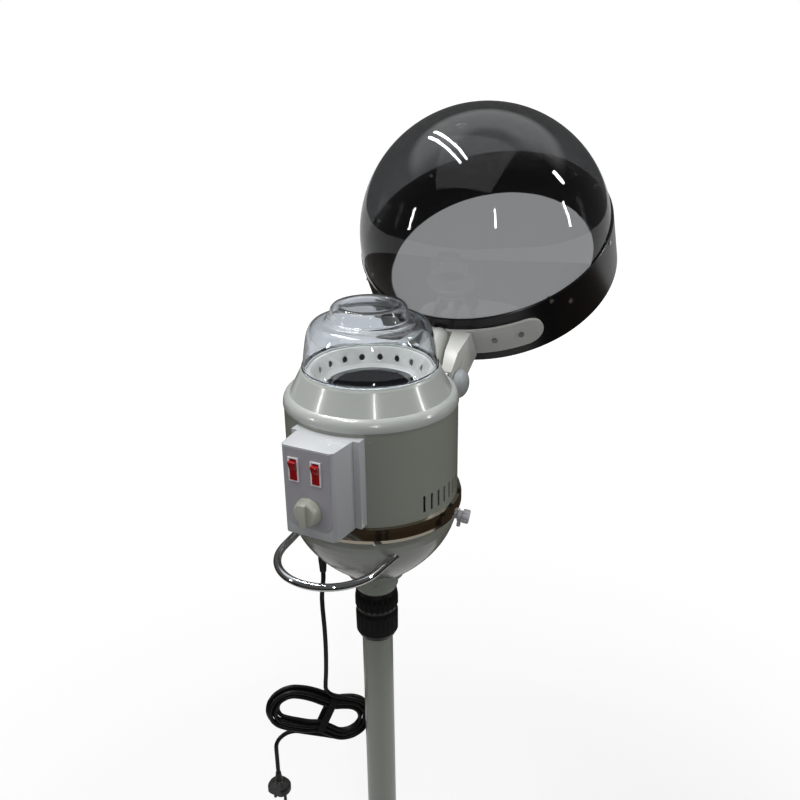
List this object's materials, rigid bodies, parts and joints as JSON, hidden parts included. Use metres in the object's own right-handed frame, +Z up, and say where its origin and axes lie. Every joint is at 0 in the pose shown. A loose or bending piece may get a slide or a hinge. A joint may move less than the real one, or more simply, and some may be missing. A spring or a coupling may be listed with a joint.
{
  "type": "hair steamer",
  "caption": "Salon hair steamer on a castor stand: a round steam head with a clear cover and control box, and a smoked dome hood on a tilting arm.",
  "frame": {"origin": "on the axis of the pole, at floor level", "axes": "+Z up; -Y towards the operator, out of the control box; +X to the operator's right; the hood hangs over +Y"},
  "size_m": [0.5522, 0.8589, 1.5272],
  "materials": {
    "base_black": "black powder coat on cast aluminium",
    "pole_grey": "satin pale grey-green enamel",
    "castor_black": "moulded black nylon",
    "wheel_black": "black rubber tread",
    "bush_white": "white acetal",
    "collar_black": "ribbed black plastic",
    "chrome_tube": "polished chrome",
    "steel_band": "polished stainless steel",
    "housing_white": "gloss warm grey-white enamel",
    "cover_white": "gloss off-white moulding",
    "socket_grey": "satin grey casting",
    "box_lilac": "satin lilac-grey moulding",
    "panel_lilac": "fine-textured lilac-grey panel",
    "frame_white": "white switch bezel",
    "rocker_red": "translucent red rocker",
    "knob_cream": "cream moulded knob",
    "clear": "clear moulded plastic, slightly blue",
    "seal_white": "white silicone",
    "funnel_white": "off-white moulding",
    "pot_black": "black non-stick coating",
    "inner_steel": "plain zinc-plated steel",
    "heater": "oxidised sheathed element",
    "insulator": "cream thermoset",
    "motor_grey": "dark grey motor can",
    "hose_clear": "silicone hose",
    "cord_black": "black PVC sheath",
    "plug_black": "black moulded plug",
    "screw_steel": "plated screw",
    "arm_white": "gloss off-white enamel on an aluminium casting",
    "hood_black": "gloss black moulding",
    "smoke": "smoked transparent acrylic",
    "duct_white": "white moulded duct"
  },
  "bodies": {
    "stand": {"star_base": "base_black", "outer_pole": "pole_grey", "pole_bolt": "screw_steel", "guide_bush": "bush_white"},
    "mast": {"inner_tube": "chrome_tube"},
    "head": {"neck_socket": "socket_grey", "neck_screws": "screw_steel", "bottom_bowl": "housing_white", "steel_band": "steel_band", "chassis_plate": "inner_steel", "drum_shell": "housing_white", "top_cover": "cover_white", "cover_seal": "seal_white", "inner_funnel": "funnel_white", "water_pot": "pot_black", "pot_bracket": "inner_steel", "heater_element": "heater", "thermal_cutout": "insulator", "fan_motor": "motor_grey", "terminal_block": "insulator", "control_housing": "box_lilac", "control_panel": "panel_lilac", "switch_frames": "frame_white", "timer_body": "insulator", "drain_valve": "knob_cream", "drain_hose": "hose_clear", "towel_rail": "chrome_tube", "cord_gland": "cord_black", "cord_lead": "cord_black", "cord_hank": "cord_black", "cord_tail": "cord_black", "cord_plug": "plug_black", "arm_bracket": "arm_white", "bracket_screws": "screw_steel", "pivot_bolt": "screw_steel", "steam_spout": "duct_white"},
    "collar": {"lock_collar": "collar_black"},
    "cover": {"clear_cover": "clear"},
    "rocker_left": {"left_rocker": "rocker_red"},
    "rocker_right": {"right_rocker": "rocker_red"},
    "timer": {"timer_knob": "knob_cream"},
    "drain": {"drain_knob": "knob_cream"},
    "fan": {"fan_wheel": "bush_white"},
    "tilt": {"tilt_knob": "cover_white"},
    "hood": {"hood_arm": "arm_white", "wing_screws": "screw_steel", "hood_band": "hood_black", "hood_dome": "smoke", "band_screws": "screw_steel", "steam_duct": "duct_white"},
    "castor_1": {"castor_body_1": "castor_black"},
    "wheels_1": {"castor_wheels_1": "wheel_black"},
    "castor_2": {"castor_body_2": "castor_black"},
    "wheels_2": {"castor_wheels_2": "wheel_black"},
    "castor_3": {"castor_body_3": "castor_black"},
    "wheels_3": {"castor_wheels_3": "wheel_black"},
    "castor_4": {"castor_body_4": "castor_black"},
    "wheels_4": {"castor_wheels_4": "wheel_black"},
    "castor_5": {"castor_body_5": "castor_black"},
    "wheels_5": {"castor_wheels_5": "wheel_black"}
  },
  "joints": [
    {"name": "height_slide", "type": "slide", "parent": "stand", "child": "mast", "axis": [0, 0, 1], "range_m": [0, 0.22]},
    {"name": "head_swivel", "type": "hinge", "parent": "mast", "child": "head", "pos_m": [0, 0, 0.93], "axis": [0, 0, 1], "range_deg": [-180, 180]},
    {"name": "collar_turn", "type": "hinge", "parent": "stand", "child": "collar", "pos_m": [0, 0, 0.86], "axis": [0, 0, 1], "range_deg": [0, 90]},
    {"name": "cover_lift", "type": "slide", "parent": "head", "child": "cover", "axis": [0, 0, 1], "range_m": [0, 0.07]},
    {"name": "left_switch", "type": "hinge", "parent": "head", "child": "rocker_left", "pos_m": [-0.0175, -0.1548, 1.156], "axis": [1, 0, 0], "range_deg": [-18, 0]},
    {"name": "right_switch", "type": "hinge", "parent": "head", "child": "rocker_right", "pos_m": [0.0131, -0.1548, 1.156], "axis": [1, 0, 0], "range_deg": [-18, 0]},
    {"name": "timer_turn", "type": "hinge", "parent": "head", "child": "timer", "pos_m": [0, -0.166, 1.104], "axis": [0, 1, 0], "range_deg": [0, 300]},
    {"name": "drain_turn", "type": "hinge", "parent": "head", "child": "drain", "pos_m": [0.10963, 0.02938, 1.03], "axis": [0.9513, 0.2549, -0.1736], "range_deg": [0, 180]},
    {"name": "fan_spin", "type": "hinge", "parent": "head", "child": "fan", "pos_m": [0, 0, 1.07], "axis": [0, 0, 1], "continuous": true},
    {"name": "tilt_lock", "type": "hinge", "parent": "head", "child": "tilt", "pos_m": [0.055, 0.161, 1.161], "axis": [1, 0, 0], "range_deg": [0, 270]},
    {"name": "hood_tilt", "type": "hinge", "parent": "head", "child": "hood", "pos_m": [0, 0.161, 1.161], "axis": [1, 0, 0], "range_deg": [-30, 20]},
    {"name": "castor_swivel_1", "type": "hinge", "parent": "stand", "child": "castor_1", "pos_m": [0, 0.27, 0.06], "axis": [0, 0, 1], "continuous": true},
    {"name": "castor_roll_1", "type": "hinge", "parent": "castor_1", "child": "wheels_1", "pos_m": [-0.0197, 0.26653, 0.025], "axis": [0.1736, -0.9848, 0], "continuous": true},
    {"name": "castor_swivel_2", "type": "hinge", "parent": "stand", "child": "castor_2", "pos_m": [-0.25678, 0.08343, 0.06], "axis": [0, 0, 1], "continuous": true},
    {"name": "castor_roll_2", "type": "hinge", "parent": "castor_2", "child": "wheels_2", "pos_m": [-0.24619, 0.06647, 0.025], "axis": [0.848, 0.5299, 0], "continuous": true},
    {"name": "castor_swivel_3", "type": "hinge", "parent": "stand", "child": "castor_3", "pos_m": [-0.1587, -0.21843, 0.06], "axis": [0, 0, 1], "continuous": true},
    {"name": "castor_roll_3", "type": "hinge", "parent": "castor_3", "child": "wheels_3", "pos_m": [-0.14612, -0.23398, 0.025], "axis": [0.7771, 0.6293, 0], "continuous": true},
    {"name": "castor_swivel_4", "type": "hinge", "parent": "stand", "child": "castor_4", "pos_m": [0.1587, -0.21843, 0.06], "axis": [0, 0, 1], "continuous": true},
    {"name": "castor_roll_4", "type": "hinge", "parent": "castor_4", "child": "wheels_4", "pos_m": [0.16684, -0.20016, 0.025], "axis": [-0.9135, 0.4067, 0], "continuous": true},
    {"name": "castor_swivel_5", "type": "hinge", "parent": "stand", "child": "castor_5", "pos_m": [0.25678, 0.08343, 0.06], "axis": [0, 0, 1], "continuous": true},
    {"name": "castor_roll_5", "type": "hinge", "parent": "castor_5", "child": "wheels_5", "pos_m": [0.24897, 0.10185, 0.025], "axis": [-0.9205, -0.3907, 0], "continuous": true}
  ]
}
